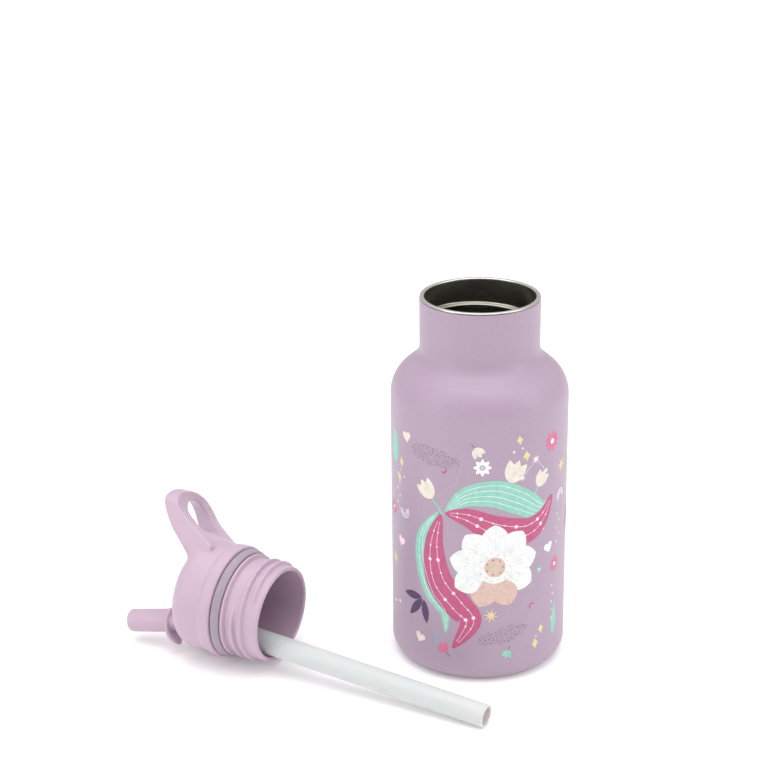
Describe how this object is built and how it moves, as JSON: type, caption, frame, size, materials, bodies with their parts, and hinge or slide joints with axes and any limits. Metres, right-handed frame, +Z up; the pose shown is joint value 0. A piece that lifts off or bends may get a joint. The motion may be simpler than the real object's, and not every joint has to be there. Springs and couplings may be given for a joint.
{
  "type": "kids water bottle",
  "caption": "Double-wall steel kids' bottle, standing open, with a screw-in lid lying beside it: carry loop, flip spout and soft straw.",
  "frame": {"origin": "centre of the bottle's base, on the face that it stands on", "axes": "+Z up along the bottle; the lid lies towards -X with its straw pointing towards +X and -Y"},
  "size_m": [0.1805, 0.1096, 0.1505],
  "materials": {
    "lilac_powder_coat": "matt lilac powder coat with a printed pattern",
    "bare_steel": "bare stainless steel, satin to bright",
    "getter_alloy": "dull grey pressed pellet",
    "grey_silicone": "translucent grey silicone",
    "lid_plastic": "semi-matt pink-lilac moulded plastic",
    "clear_silicone": "milky silicone",
    "frosted_straw": "translucent frosted soft plastic"
  },
  "bodies": {
    "bottle": {"outer_shell": "lilac_powder_coat", "inner_liner": "bare_steel", "base_cup": "bare_steel", "base_disc": "bare_steel", "getter_pellet": "getter_alloy"},
    "seal": {"seal_ring": "grey_silicone"},
    "lid": {"lid_cap": "lid_plastic", "threaded_plug": "lid_plastic", "spout_gasket": "clear_silicone", "straw_connector": "clear_silicone", "vent_valve": "clear_silicone", "pivot_pin_left": "bare_steel", "pivot_pin_right": "bare_steel"},
    "spout": {"flip_spout": "lid_plastic"},
    "straw": {"straw": "frosted_straw"}
  },
  "joints": [
    {"name": "lid_swing", "type": "hinge", "parent": "bottle", "child": "seal", "pos_m": [-0.01042, -0.07627, 0.09306], "axis": [0.7481, 0.5036, -0.4321], "range_deg": [0, 100.26], "deforming": ["straw"]},
    {"name": "lid_turn", "type": "hinge", "parent": "seal", "child": "lid", "pos_m": [-0.0977, -0.0067, 0.02304], "axis": [0.8764, -0.4798, -0.0419], "range_deg": [0, 360]},
    {"name": "spout_flip", "type": "hinge", "parent": "lid", "child": "spout", "pos_m": [-0.11471, -0.00464, 0.01364], "axis": [0.3863, 0.7522, -0.5339], "range_deg": [0, 104]},
    {"name": "straw_pull", "type": "slide", "parent": "lid", "child": "straw", "axis": [0.8764, -0.4798, -0.0419], "range_m": [0, 0.012]}
  ]
}
